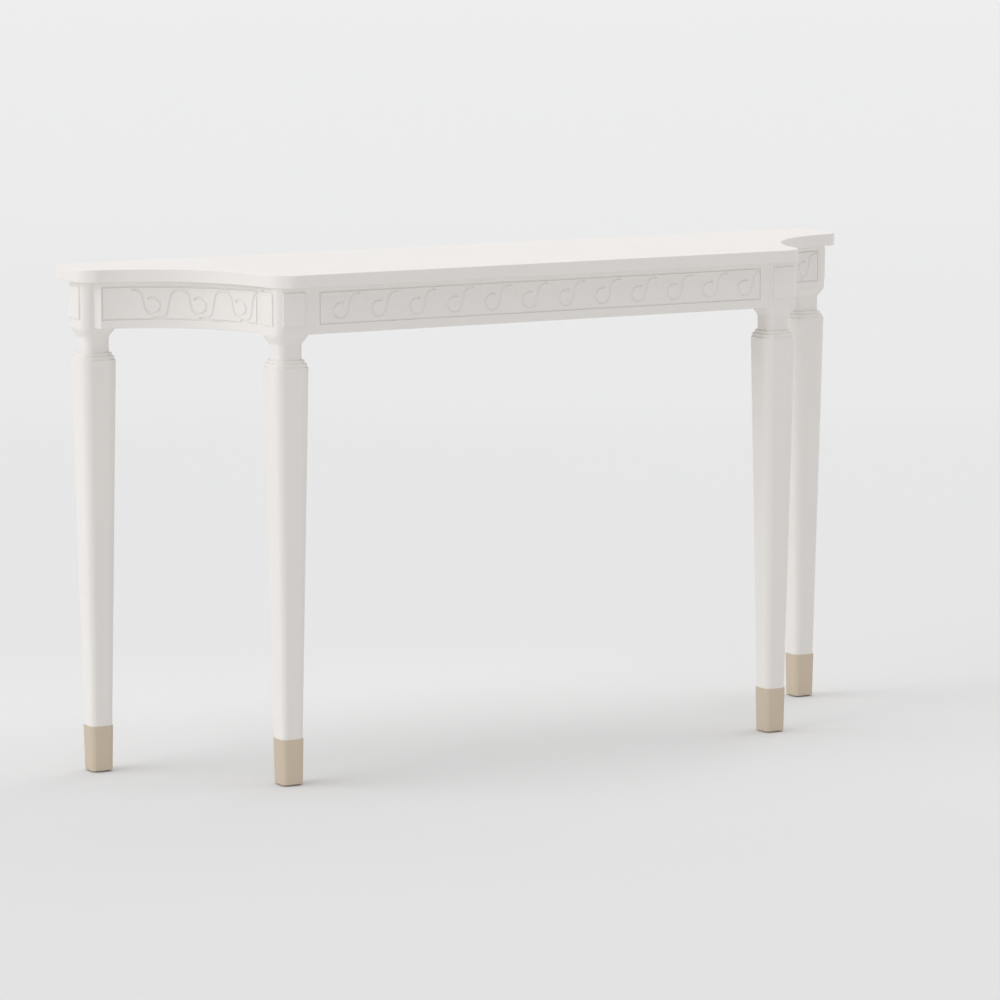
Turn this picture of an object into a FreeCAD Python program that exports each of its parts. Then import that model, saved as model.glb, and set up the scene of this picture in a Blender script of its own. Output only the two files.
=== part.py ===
import FreeCAD, Part
import math
import os
import Sketcher
from FreeCAD import Placement, Rotation, Vector

# Pier table: a long narrow table with concave ends, on four square tapered legs with metal sabots.
# Frame: millimetres, +Z up, +X along the length, -Y the front, origin on the floor at the box's centre.

os.makedirs("parts", exist_ok=True)
doc = FreeCAD.newDocument("PierTable")
sheet = doc.addObject("Spreadsheet::Sheet", "Dims")

DRIVING = {
    # overall and top
    "table_height": 864, "top_width": 1512, "top_depth": 390, "top_thick": 22,
    "bay_radius": 236, "bay_inset": 17,
    "front_corner_r": 46, "ear_corner_r": 36, "back_corner_r": 40,
    # where the legs stand under the top
    "front_overhang": 14, "back_overhang": 46, "side_overhang": 12.5,
    # leg blocks, with their raised panels
    "block_w": 66, "block_corner_r": 16, "panel_w": 42, "panel_relief": 3,
    # neck and collar
    "bed_w": 64, "bed_h": 16, "bed_corner_r": 15, "bed_round": 9,
    "neck_w": 46, "neck_h": 25, "neck_corner_r": 10,
    "upper_ring_w": 54.6, "upper_ring_h": 5.5, "upper_ring_r": 12,
    "lower_ring_w": 61.6, "lower_ring_h": 6, "lower_ring_r": 13.5,
    # tapered shaft and sabot
    "shaft_top_w": 66, "shaft_top_r": 14, "shaft_low_r": 8.5,
    "foot_w": 38.4, "sabot_top_z": 79, "sabot_corner_r": 5.5,
    "sabot_wall": 1.6, "sabot_base": 3, "tenon_gap": 0.15, "tenon_r": 6,
    # glide nailed under each sabot
    "glide_d": 24, "glide_h": 2.5, "nail_d": 3.5, "nail_len": 22,
    # aprons
    "apron_h": 79, "apron_thick": 22, "apron_setback": 16, "back_setin": 6,
    "end_inset": 21, "end_cant": 30, "end_lap": 9,
    # sunk line round each carved field, and the scroll
    "field_top": 8.5, "field_low": 15.5, "end_field_low": 12.5, "stile": 14, "end_stile": 3,
    "line_w": 2.5, "line_deep": 1.5,
    "scroll_count": 12, "end_scroll_count": 3, "end_scroll_pitch": 80,
    "scroll_start": 40, "left_scroll_start": 40, "right_scroll_start": 97,
    "coil_r": 13.5, "coil_drop": 4.5, "coil_gap": 45, "stem_lean": 12, "stem_len": 19, "crest_r": 14,
    "crest_run": 5, "hook_drop": 25.2, "hook_r": 12,
    # inner frame and fixings
    "rail_x": 240, "rail_thick": 22, "rail_h": 60,
    "glue_leg": 34, "dowel_d": 8, "dowel_len": 40, "dowel_lap": 10, "dowel_rise": 20,
    "screw_d": 4.5, "screw_head_d": 9, "screw_head_h": 3, "screw_grip": 30, "screw_bite": 14,
    "screw_inset": 12, "rail_screw_inset": 74,
}
# Points closer than this are the same point
SAME_POINT = 0.01
for row, (name, size) in enumerate(DRIVING.items(), start=1):
    sheet.set("A%d" % row, name)
    sheet.set("B%d" % row, str(size))
    sheet.setAlias("B%d" % row, name)
doc.recompute()


def rule(text):
    """Turn the sheet's names in a formula into references to its cells."""
    words = sorted(DRIVING, key=len, reverse=True)
    for word in words:
        text = text.replace(word, "<" + str(words.index(word)) + ">")
    for word in words:
        text = text.replace("<" + str(words.index(word)) + ">", "Dims." + word)
    return text


def size_of(formula):
    return float(sheet.evalExpression(formula))


def bind(obj, **formulas):
    """Bind properties to formulas; x, y and z stand for the placement's base."""
    short = {"x": "Placement.Base.x", "y": "Placement.Base.y", "z": "Placement.Base.z"}
    for prop, formula in formulas.items():
        obj.setExpression(short.get(prop, prop), formula)
    return obj


# Heights and places that follow from the driving sizes
TOP_Z = rule("(table_height - top_thick)")
APRON_Z = rule("(table_height - top_thick - apron_h)")
BED_Z = rule("(table_height - top_thick - apron_h - bed_h)")
NECK_Z = rule("(table_height - top_thick - apron_h - bed_h - neck_h)")
UPPER_RING_Z = NECK_Z + rule(" - upper_ring_h")
SHAFT_TOP_Z = "(" + UPPER_RING_Z + rule(" - lower_ring_h)")
BAY_X = rule("(top_width / 2)")
BAY_Y = rule("(bay_inset - top_depth / 2)")
FACE_R = rule("(bay_radius + apron_setback)")
BLOCK_HALF = rule("(block_w / 2)")
FRONT_FACE_Y = rule("(front_overhang - top_depth / 2)")
FRONT_LEG_Y = "(" + FRONT_FACE_Y + " + " + BLOCK_HALF + ")"
BACK_LEG_Y = rule("(top_depth / 2 - back_overhang - block_w / 2)")
BACK_LEG_X = rule("(top_width / 2 - side_overhang - block_w / 2)")
# The front block's outer face runs on into the concave apron's face at the block's back
FLUSH_RISE = "(" + FRONT_FACE_Y + rule(" + block_w - ") + BAY_Y + ")"
FLUSH_X = "(%s - sqrt(%s^2 - %s^2))" % (BAY_X, FACE_R, FLUSH_RISE)
FRONT_LEG_X = "(" + FLUSH_X + " - " + BLOCK_HALF + ")"
FRONT_INNER_X = "(" + FLUSH_X + rule(" - block_w)")
BACK_INNER_X = "(" + BACK_LEG_X + " - " + BLOCK_HALF + ")"
FRONT_BACK_Y = "(" + FRONT_LEG_Y + " + " + BLOCK_HALF + ")"
BACK_FRONT_Y = "(" + BACK_LEG_Y + " - " + BLOCK_HALF + ")"
# The concave apron's face is an arc from that corner to its lap on the back block
ARC_END_Y = "(" + BACK_FRONT_Y + rule(" - end_lap)")
ARC_RUN = "(" + BAY_X + " - " + FLUSH_X + ")"
ARC_RISE = "(" + ARC_END_Y + " - " + FRONT_BACK_Y + ")"
ARC_R = "((%s^2 + %s^2) / (2 * %s))" % (ARC_RUN, ARC_RISE, ARC_RISE)
ARC_Y = "(" + ARC_END_Y + " - " + ARC_R + ")"
END_X = "(" + BACK_LEG_X + " + " + BLOCK_HALF + rule(" - end_inset)")
FRONT_APRON_BACK_Y = "(" + FRONT_FACE_Y + rule(" + apron_thick)")
BACK_APRON_Y = "(" + BACK_LEG_Y + " + " + BLOCK_HALF + rule(" - back_setin - apron_thick)")
FIELD_H = rule("(apron_h - field_top - field_low)")
FIELD_Z = "(" + APRON_Z + rule(" + field_low)")
END_FIELD_H = rule("(apron_h - field_top - end_field_low)")
END_FIELD_Z = "(" + APRON_Z + rule(" + end_field_low)")
SABOT_FLOOR_Z = rule("(glide_h + sabot_base)")


def leg_width(height):
    """Width of the taper at a height, from the foot to the top of the shaft."""
    return rule("(foot_w + (shaft_top_w - foot_w) * (") + height + rule(" - glide_h) / (") \
        + SHAFT_TOP_Z + rule(" - glide_h))")


# Sketch helpers
def origin_plane(body, role):
    return next(f for f in body.Origin.OriginFeatures if f.Role == role)


def new_sketch(body, name, role="XY_Plane", offset="0"):
    sketch = body.newObject("Sketcher::SketchObject", name)
    sketch.AttachmentSupport = [(origin_plane(body, role), "")]
    sketch.MapMode = "FlatFace"
    sketch.setExpression("AttachmentOffset.Base.z", offset)
    return sketch


def rounded_square(body, name, width, radius, height):
    """Square with four equal round corners, centred on the body's axis."""
    sketch = new_sketch(body, name, "XY_Plane", height)
    half, r = size_of(width) / 2, size_of(radius)
    flat = half - r
    for k in range(4):
        turn = Rotation(Vector(0, 0, 1), 90 * k)
        sketch.addGeometry(Part.LineSegment(turn * Vector(-flat, -half, 0), turn * Vector(flat, -half, 0)))
        knee = Part.Circle(turn * Vector(flat, -flat, 0), Vector(0, 0, 1), r)
        start = math.radians(90 * k - 90)
        sketch.addGeometry(Part.ArcOfCircle(knee, start, start + math.pi / 2))
    for k in range(4):
        side, corner, after = 2 * k, 2 * k + 1, (2 * k + 2) % 8
        sketch.addConstraint(Sketcher.Constraint("Tangent", side, 2, corner, 1))
        sketch.addConstraint(Sketcher.Constraint("Tangent", corner, 2, after, 1))
        sketch.addConstraint(Sketcher.Constraint("Horizontal" if k % 2 == 0 else "Vertical", side))
    for corner in (3, 5, 7):
        sketch.addConstraint(Sketcher.Constraint("Equal", 1, corner))
    sketch.addConstraint(Sketcher.Constraint("Symmetric", 1, 3, 5, 3, -1, 1))
    named = (("across", Sketcher.Constraint("DistanceX", 6, 1, 2, 1, 2 * half), width),
             ("deep", Sketcher.Constraint("DistanceY", 0, 1, 4, 1, 2 * half), width),
             ("corner", Sketcher.Constraint("Radius", 1, r), radius))
    for title, constraint, formula in named:
        sketch.renameConstraint(sketch.addConstraint(constraint), title)
        sketch.setExpression("Constraints." + title, formula)
    return sketch


def rectangle(body, name, role, left, right, low, high, offset="0"):
    """Rectangle between four formulas, measured from the sketch's origin."""
    sketch = new_sketch(body, name, role, offset)
    add_rectangle(sketch, name, left, right, low, high)
    return sketch


def add_rectangle(sketch, name, left, right, low, high):
    x0, x1, y0, y1 = (size_of(f) for f in (left, right, low, high))
    first = len(sketch.Geometry)
    corners = [Vector(x0, y0, 0), Vector(x1, y0, 0), Vector(x1, y1, 0), Vector(x0, y1, 0)]
    for k in range(4):
        sketch.addGeometry(Part.LineSegment(corners[k], corners[(k + 1) % 4]))
    for k in range(4):
        sketch.addConstraint(Sketcher.Constraint("Coincident", first + k, 2, first + (k + 1) % 4, 1))
        sketch.addConstraint(Sketcher.Constraint("Horizontal" if k % 2 == 0 else "Vertical", first + k))
    for title, kind, point, formula in (("left", "DistanceX", 0, left), ("right", "DistanceX", 2, right),
                                        ("low", "DistanceY", 0, low), ("high", "DistanceY", 2, high)):
        mark = Sketcher.Constraint(kind, -1, 1, first + point, 1, size_of(formula))
        sketch.renameConstraint(sketch.addConstraint(mark), "%s_%d_%s" % (name, first, title))
        sketch.setExpression("Constraints.%s_%d_%s" % (name, first, title), formula)


def pad(body, sketch, length, reverse=False):
    feature = body.newObject("PartDesign::Pad", sketch.Name + "_pad")
    feature.Profile = sketch
    feature.Reversed = reverse
    feature.setExpression("Length", length)
    doc.recompute()
    return feature


def loft(body, kind, low, high):
    feature = body.newObject("PartDesign::" + kind, low.Name + "_loft")
    feature.Profile = (low, [""])
    feature.Sections = [(high, [""])]
    feature.Ruled = True
    doc.recompute()
    return feature


def fillet(body, base, edges, radius):
    feature = body.newObject("PartDesign::Fillet", base.Name + "_round")
    feature.Base = (base, edges)
    feature.setExpression("Radius", radius)
    doc.recompute()
    return feature


def edges_where(shape, test):
    """Names of the edges whose every end passes the test."""
    return ["Edge%d" % (i + 1) for i, edge in enumerate(shape.Edges)
            if all(test(v.Point) for v in edge.Vertexes)]


def upright_edges(shape, corners):
    """Names of the vertical edges that stand on the given corners."""
    def near(point, corner):
        return math.hypot(point.x - corner[0], point.y - corner[1]) < SAME_POINT
    names = []
    for corner in corners:
        names += edges_where(shape, lambda point, corner=corner: near(point, corner))
    return names


def cylinder(name, radius, height, angle="360", **place):
    return bind(doc.addObject("Part::Cylinder", name), Radius=radius, Height=height, Angle=angle, **place)


def boolean(kind, name, base, tool):
    obj = doc.addObject("Part::" + kind, name)
    obj.Base = base
    obj.Tool = tool
    return obj


def compound(name, links):
    obj = doc.addObject("Part::Compound", name)
    obj.Links = links
    return obj


def mirrored(name, source):
    """The same piece on the other side of the table's middle."""
    obj = doc.addObject("Part::Mirroring", name)
    obj.Source = source
    obj.Normal = Vector(1, 0, 0)
    return obj


# Scroll: one wave of the running ornament, as a carved line of even width
def stroke(start, heading, moves, width):
    """Closed outline of a line drawn from a start by straight runs and arcs."""
    left, right = [], []
    here, way, half = Vector(*start, 0), math.radians(heading), width / 2
    for radius, amount in moves:
        side = Vector(-math.sin(way), math.cos(way), 0)
        if radius is None:
            there = here + Vector(math.cos(way), math.sin(way), 0) * amount
            left.append(Part.LineSegment(here + side * half, there + side * half))
            right.append(Part.LineSegment(there - side * half, here - side * half))
        else:
            bend = math.copysign(1, amount)
            middle = here + side * radius * bend
            spoke = here - middle
            turns = [Rotation(Vector(0, 0, 1), amount * part) for part in (0, 0.5, 1)]
            inner = [middle + turn * spoke * ((radius - half) / radius) for turn in turns]
            outer = [middle + turn * spoke * ((radius + half) / radius) for turn in turns]
            near, far = (inner, outer) if bend > 0 else (outer, inner)
            left.append(Part.Arc(*near))
            right.append(Part.Arc(*reversed(far)))
            there = middle + turns[2] * spoke
            way += math.radians(amount)
        here = there
    outline = left + [Part.LineSegment(left[-1].EndPoint, right[-1].StartPoint)] + right[::-1]
    outline.append(Part.LineSegment(right[0].EndPoint, left[0].StartPoint))
    return outline


def wave(sketch, where, pitch=None):
    """Add one wave whose coil stands at a place along the field.

    Given the pitch, its line comes up from under the next coil; without, it starts at the crest."""
    at = {name: size_of("Dims." + name) for name in DRIVING}
    turn, middle = 90 - at["stem_lean"], size_of(FIELD_Z) + size_of(FIELD_H) / 2
    across, up = math.cos(math.radians(turn)), math.sin(math.radians(turn))
    foot = Vector(where + at["coil_r"] * up, middle - at["coil_drop"] - at["coil_r"] * across, 0)
    crest = foot + Vector(across, up, 0) * at["stem_len"] + Vector(up, 1 - across, 0) * at["crest_r"]
    begin = crest + Vector(at["crest_run"], 0, 0)
    moves = [(None, at["crest_run"]), (at["crest_r"], turn), (None, at["stem_len"]),
             (at["coil_r"], at["coil_gap"] - 360)]
    if pitch:
        bends, low = at["hook_r"] + at["crest_r"], middle - at["hook_drop"]
        rise = (crest.y - low - bends * (1 - across)) / up
        run = max(at["line_w"], where + pitch - begin.x - bends * up - rise * across)
        begin = Vector(begin.x + bends * up + rise * across + run, low, 0)
        moves = [(None, run), (at["hook_r"], -turn), (None, rise), (at["crest_r"], turn)] + moves
    for piece in stroke((begin.x, begin.y), 180, moves, at["line_w"]):
        sketch.addGeometry(piece)


# Top: a slab with a quarter-round bay cut out of each front corner
def make_top():
    body = doc.addObject("PartDesign::Body", "top_slab")
    half_w, half_d = rule("top_width / 2"), rule("top_depth / 2")
    outline = rectangle(body, "top_outline", "XY_Plane", "-" + half_w, half_w, "-" + half_d, half_d, TOP_Z)
    pad(body, outline, rule("top_thick"))
    bays = new_sketch(body, "top_bays", "XY_Plane", rule("table_height"))
    for k, side in enumerate((1, -1)):
        place = Vector(side * size_of(BAY_X), size_of(BAY_Y), 0)
        bays.addGeometry(Part.Circle(place, Vector(0, 0, 1), size_of(rule("bay_radius"))))
        marks = (("across", "DistanceX", "-" + BAY_X if side < 0 else BAY_X), ("along", "DistanceY", BAY_Y))
        for title, kind, formula in marks:
            mark = Sketcher.Constraint(kind, -1, 1, k, 3, size_of(formula))
            bays.renameConstraint(bays.addConstraint(mark), "bay%d_%s" % (k, title))
            bays.setExpression("Constraints.bay%d_%s" % (k, title), formula)
        mark = Sketcher.Constraint("Radius", k, size_of(rule("bay_radius")))
        bays.renameConstraint(bays.addConstraint(mark), "bay%d_r" % k)
        bays.setExpression("Constraints.bay%d_r" % k, rule("bay_radius"))
    cut = body.newObject("PartDesign::Pocket", "top_bay_cut")
    cut.Profile = bays
    cut.setExpression("Length", rule("top_thick"))
    doc.recompute()
    front_y, back_y = size_of(rule("-top_depth / 2")), size_of(half_d)
    side_x, reach = size_of(half_w), size_of(rule("sqrt(bay_radius^2 - bay_inset^2)"))
    ear_y = size_of(BAY_Y) + size_of(rule("bay_radius"))
    shape = cut
    for corners, radius in (((side_x - reach, front_y), "front_corner_r"), ((side_x, ear_y), "ear_corner_r"),
                            ((side_x, back_y), "back_corner_r")):
        pair = [corners, (-corners[0], corners[1])]
        shape = fillet(body, shape, upright_edges(shape.Shape, pair), rule(radius))
    return body


# Legs: block, bed mould, neck, collar and tapered shaft with a tenon for the sabot
def make_leg(name, x, y, round_corners, panel_roles):
    body = bind(doc.addObject("PartDesign::Body", name + "_blank"), x=x, y=y)
    bed_plan = rounded_square(body, name + "_bed", rule("bed_w"), rule("bed_corner_r"), BED_Z)
    bed = pad(body, bed_plan, rule("bed_h"))
    low = size_of(BED_Z)
    under = edges_where(bed.Shape, lambda point: abs(point.z - low) < SAME_POINT)
    fillet(body, bed, under, rule("bed_round"))
    block = rectangle(body, name + "_block", "XY_Plane", "-" + BLOCK_HALF, BLOCK_HALF, "-" + BLOCK_HALF,
                      BLOCK_HALF, APRON_Z)
    solid = pad(body, block, rule("apron_h"))
    half = size_of(BLOCK_HALF)
    corners = [(half * sx, half * sy) for sx, sy in round_corners]
    fillet(body, solid, upright_edges(solid.Shape, corners), rule("block_corner_r"))
    half_panel = rule("panel_w / 2")
    for role, reverse in panel_roles:
        panel = rectangle(body, name + "_panel_" + role[:2], role, "-" + half_panel, half_panel, FIELD_Z,
                          FIELD_Z + " + " + FIELD_H)
        pad(body, panel, BLOCK_HALF + rule(" + panel_relief"), reverse)
    rings = (("neck", "neck_w", "neck_corner_r", NECK_Z, "neck_h"),
             ("upper", "upper_ring_w", "upper_ring_r", UPPER_RING_Z, "upper_ring_h"),
             ("lower", "lower_ring_w", "lower_ring_r", SHAFT_TOP_Z, "lower_ring_h"))
    for title, width, radius, height, tall in rings:
        pad(body, rounded_square(body, name + "_" + title, rule(width), rule(radius), height), rule(tall))
    sabot_top = rule("sabot_top_z")
    low_w, top_w = leg_width(sabot_top), rule("shaft_top_w")
    shaft_low = rounded_square(body, name + "_shaft_low", low_w, rule("shaft_low_r"), sabot_top)
    shaft_top = rounded_square(body, name + "_shaft_top", top_w, rule("shaft_top_r"), SHAFT_TOP_Z)
    loft(body, "AdditiveLoft", shaft_low, shaft_top)
    tenon_foot = SABOT_FLOOR_Z + rule(" + tenon_gap")
    slim = rule(" - 2 * sabot_wall - 2 * tenon_gap")
    tenon = [rounded_square(body, name + "_tenon" + str(k), leg_width(z) + slim, rule("tenon_r"), z)
             for k, z in enumerate((tenon_foot, sabot_top))]
    loft(body, "AdditiveLoft", *tenon)
    return body


def make_sabot(name, x, y):
    """Hollow metal shoe that carries the taper on to the floor."""
    body = bind(doc.addObject("PartDesign::Body", name + "_shell"), x=x, y=y)
    low, top, thin = rule("glide_h"), rule("sabot_top_z"), rule(" - 2 * sabot_wall")
    outside = [rounded_square(body, name + "_out" + str(k), leg_width(z), rule("sabot_corner_r"), z)
               for k, z in enumerate((low, top))]
    loft(body, "AdditiveLoft", *outside)
    inside = [rounded_square(body, name + "_in" + str(k), leg_width(z) + thin, rule("tenon_r"), z)
              for k, z in enumerate((SABOT_FLOOR_Z, top))]
    loft(body, "SubtractiveLoft", *inside)
    return body


def make_glide(name, x, y):
    """Round glide with its nail, driven up through the sabot's floor."""
    disc = cylinder(name + "_disc", rule("glide_d / 2"), rule("glide_h"), x=x, y=y)
    nail = cylinder(name + "_nail", rule("nail_d / 2"), rule("glide_h + nail_len"), x=x, y=y)
    return boolean("Fuse", name, disc, nail)


# Aprons
def field_line(body, name, left, right):
    """Sunk line round a carved field on the body's front plane."""
    sketch = new_sketch(body, name, "XZ_Plane")
    low, high = FIELD_Z, FIELD_Z + " + " + FIELD_H
    more, less = rule(" + line_w"), rule(" - line_w")
    add_rectangle(sketch, name, left, right, low, high)
    add_rectangle(sketch, name, left + more, right + less, low + more, high + less)
    return sketch


def pocket(body, sketch, depth):
    before = body.Shape.Volume
    feature = body.newObject("PartDesign::Pocket", sketch.Name + "_cut")
    feature.Profile = sketch
    feature.setExpression("Length", depth)
    doc.recompute()
    if body.Shape.Volume >= before:
        raise ValueError(sketch.Name + " cuts nothing")
    return feature


def make_front_apron():
    body = bind(doc.addObject("PartDesign::Body", "front_apron_board"), y=FRONT_FACE_Y)
    board = rectangle(body, "front_board", "XZ_Plane", "-" + FRONT_INNER_X, FRONT_INNER_X, APRON_Z, TOP_Z)
    pad(body, board, rule("apron_thick"), True)
    edge = "(" + FRONT_INNER_X + rule(" - stile)")
    pocket(body, field_line(body, "front_field", "-" + edge, edge), rule("line_deep"))
    # the row of waves, cut off where the field ends
    waves = bind(doc.addObject("PartDesign::Body", "front_waves"), y=FRONT_FACE_Y)
    waves.AllowCompound = True
    pitch = "(2 * %s / Dims.scroll_count)" % edge
    drawing = new_sketch(waves, "front_scroll", "XZ_Plane")
    wave(drawing, -size_of(edge) + size_of(rule("scroll_start")))
    bars = pad(waves, drawing, rule("line_deep"), True)
    row = waves.newObject("PartDesign::LinearPattern", "front_scroll_row")
    row.Originals = [bars]
    row.Direction = (drawing, ["H_Axis"])
    row.setExpression("Length", pitch + rule(" * (scroll_count - 1)"))
    row.setExpression("Occurrences", rule("scroll_count"))
    waves.Tip = row
    field = bind(doc.addObject("Part::Box", "front_scroll_field"), Length="2 * " + edge, Height=FIELD_H,
                 Width=rule("line_deep"), x="-" + edge, y=FRONT_FACE_Y, z=FIELD_Z)
    return boolean("Cut", "front_carved", body, boolean("Common", "front_carving", waves, field))


def make_back_apron():
    board = doc.addObject("Part::Box", "back_apron_board")
    return bind(board, Length="2 * " + BACK_INNER_X, Width=rule("apron_thick"), Height=rule("apron_h"),
                x="-" + BACK_INNER_X, y=BACK_APRON_Y, z=APRON_Z)


def end_field():
    """First and last angle of the concave apron's field about the arc's centre, front to back."""
    radius, rise = size_of(ARC_R), size_of(FRONT_BACK_Y) - size_of(ARC_Y)
    stile = math.degrees(size_of(rule("end_stile")) / radius)
    cant_x = size_of(BAY_X) - size_of(END_X) + size_of(rule("apron_thick * sin(end_cant) / 2"))
    first = 180 - math.degrees(math.asin(rise / radius)) - stile
    last = 90 + math.degrees(math.asin(cant_x / radius)) + stile
    return first, last


def end_band(name, lines_in):
    """Sector over the concave field, as deep as its carving, in from its edge by whole lines."""
    first, last = end_field()
    turn = lines_in * math.degrees(size_of(rule("line_w")) / size_of(ARC_R))
    inset = rule("%d * line_w" % lines_in)
    band = cylinder(name, ARC_R + rule(" + line_deep"), END_FIELD_H + " - 2 * " + inset,
                    str(first - last - 2 * turn), x=BAY_X, y=ARC_Y, z=END_FIELD_Z + " + " + inset)
    band.Placement.Rotation = Rotation(Vector(0, 0, 1), last + turn)
    return band


def make_end_board(back_leg):
    """Right-hand apron: part of a ring, lapped over the back block, canted at its end and lined."""
    at = {"x": BAY_X, "y": ARC_Y, "z": APRON_Z}
    rind = cylinder("end_back_round", ARC_R + rule(" + apron_thick"), rule("apron_h"), **at)
    hollow = cylinder("end_face_round", ARC_R, rule("apron_h"), **at)
    ring = boolean("Cut", "end_ring", rind, hollow)
    span = bind(doc.addObject("Part::Box", "end_span"), Length=END_X + " - " + FRONT_INNER_X,
                Width=BACK_LEG_Y + " - " + FRONT_BACK_Y, Height=rule("apron_h"),
                x=FRONT_INNER_X, y=FRONT_BACK_Y, z=APRON_Z)
    sector = boolean("Common", "end_sector", ring, span)
    lapped = boolean("Cut", "end_lapped", sector, back_leg)
    cant = bind(doc.addObject("Part::Box", "end_cant_cut"), Length=rule("apron_thick"),
                Width=rule("2 * apron_thick"), Height=rule("apron_h"), z=APRON_Z,
                x=END_X + rule(" - 2 * apron_thick * sin(end_cant)"),
                y=BACK_FRONT_Y + rule(" - 2 * apron_thick * cos(end_cant)"))
    cant.Placement.Rotation = Rotation(Vector(0, 0, 1), -size_of(rule("end_cant")))
    canted = boolean("Cut", "end_canted", lapped, cant)
    line = boolean("Cut", "end_field_line", end_band("end_field_outer", 0), end_band("end_field_inner", 1))
    return boolean("Cut", "end_lined", canted, line)


def carve_end(board, side, start):
    """Cut the waves into a concave board, each drawn on a plane square to the spoke through its crest."""
    centre, radius = Vector(size_of(BAY_X), size_of(ARC_Y), 0), size_of(ARC_R)
    pitch, first = size_of(rule("end_scroll_pitch")), end_field()[0]
    waves = []
    # the wave before the first has only its hook on the board
    for k in range(-1, int(size_of(rule("end_scroll_count")))):
        crest_along = size_of(start) + (k + 0.5) * pitch
        angle = first - math.degrees(crest_along / radius)
        sketch = doc.addObject("Sketcher::SketchObject", side + "_scroll%d" % (k + 1))
        wave(sketch, -pitch / 2, pitch)
        upright = Rotation(Vector(0, 0, 1), angle - 90) * Rotation(Vector(1, 0, 0), 90)
        reach = Rotation(Vector(0, 0, 1), angle) * Vector(radius + size_of(rule("apron_thick")), 0, 0)
        sketch.Placement = Placement(centre + reach, upright)
        bar = doc.addObject("Part::Extrusion", side + "_scroll_bar%d" % (k + 1))
        bar.Base = sketch
        bar.DirMode = "Normal"
        bar.Solid = True
        bar.FaceMakerClass = "Part::FaceMakerBullseye"
        bar.setExpression("LengthFwd", rule("2 * apron_thick"))
        waves.append(bar)
    carving = boolean("Common", side + "_scroll", compound(side + "_scroll_bars", waves),
                      end_band(side + "_scroll_field", 0))
    return boolean("Cut", side + "_end_carved", board, carving)


# Fixings
def bar_along(name, direction, radius, length, x, y, z):
    rod = cylinder(name, radius, length, x=x, y=y, z=z)
    rod.Placement.Rotation = Rotation(Vector(0, 0, 1), direction)
    return rod


def make_dowels():
    """Right-hand half of the glued dowels between aprons and blocks, then both halves as one group."""
    r, length = rule("dowel_d / 2"), rule("dowel_len")
    half, mid = rule("dowel_len / 2"), rule("apron_thick / 2")
    rise = "(" + FRONT_BACK_Y + " - " + ARC_Y + ")"
    ring_mid = "(%s - sqrt((%s%s)^2 - %s^2))" % (BAY_X, ARC_R, rule(" + apron_thick / 2"), rise)
    along_x, along_y = Vector(1, 0, 0), Vector(0, 1, 0)
    rods = []
    for k, z in enumerate((APRON_Z + rule(" + dowel_rise"), TOP_Z + rule(" - dowel_rise"))):
        seats = (("front", along_x, FRONT_INNER_X + " - " + half, FRONT_FACE_Y + " + " + mid),
                 ("back", along_x, BACK_INNER_X + " - " + half, BACK_APRON_Y + " + " + mid),
                 ("bay", along_y, ring_mid, FRONT_BACK_Y + " - " + half),
                 ("lap", along_y, BACK_LEG_X, BACK_FRONT_Y + rule(" - dowel_lap")))
        rods += [bar_along("dowel_%s%d" % (seat, k), way, r, length, x, y, z) for seat, way, x, y in seats]
    right = compound("apron_dowels_right", rods)
    return compound("apron_dowels", [right, mirrored("apron_dowels_left", right)])


def make_rail_dowels():
    r, length = rule("dowel_d / 2"), rule("dowel_len")
    rods = []
    for k, z in enumerate((TOP_Z + rule(" - rail_h + dowel_rise"), TOP_Z + rule(" - dowel_rise"))):
        for end, y in (("front", FRONT_APRON_BACK_Y + rule(" - dowel_lap")),
                       ("back", BACK_APRON_Y + rule(" - dowel_len + dowel_lap"))):
            name = "rail_dowel_%s%d" % (end, k)
            rods.append(bar_along(name, Vector(0, 1, 0), r, length, rule("rail_x"), y, z))
    right = compound("rail_dowels_right", rods)
    return compound("rail_dowels", [right, mirrored("rail_dowels_left", right)])


def make_rail():
    rail = doc.addObject("Part::Box", "cross_rail_bar")
    return bind(rail, Length=rule("rail_thick"), Width=BACK_APRON_Y + " - " + FRONT_APRON_BACK_Y,
                Height=rule("rail_h"), x=rule("rail_x - rail_thick / 2"), y=FRONT_APRON_BACK_Y,
                z=TOP_Z + rule(" - rail_h"))


def make_glue_block(name, x, y, toward):
    """Three-cornered block glued in the angle between an apron and a leg block."""
    body = bind(doc.addObject("PartDesign::Body", name + "_wedge"), x=x, y=y)
    sketch = new_sketch(body, name + "_plan", "XY_Plane", TOP_Z + rule(" - rail_h"))
    leg = size_of(rule("glue_leg"))
    corners = [Vector(0, 0, 0), Vector(-leg, 0, 0), Vector(0, leg * toward, 0)]
    for k in range(3):
        sketch.addGeometry(Part.LineSegment(corners[k], corners[(k + 1) % 3]))
    for k in range(3):
        sketch.addConstraint(Sketcher.Constraint("Coincident", k, 2, (k + 1) % 3, 1))
    sketch.addConstraint(Sketcher.Constraint("Coincident", 0, 1, -1, 1))
    sketch.addConstraint(Sketcher.Constraint("Horizontal", 0))
    sketch.addConstraint(Sketcher.Constraint("Vertical", 2))
    for title, side in (("across", 0), ("along", 2)):
        mark = Sketcher.Constraint("Distance", side, leg)
        sketch.renameConstraint(sketch.addConstraint(mark), title)
        sketch.setExpression("Constraints." + title, rule("glue_leg"))
    pad(body, sketch, rule("rail_h"))
    return body


SCREW_SEAT_Z = "(" + TOP_Z + rule(" - screw_grip)")


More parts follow.
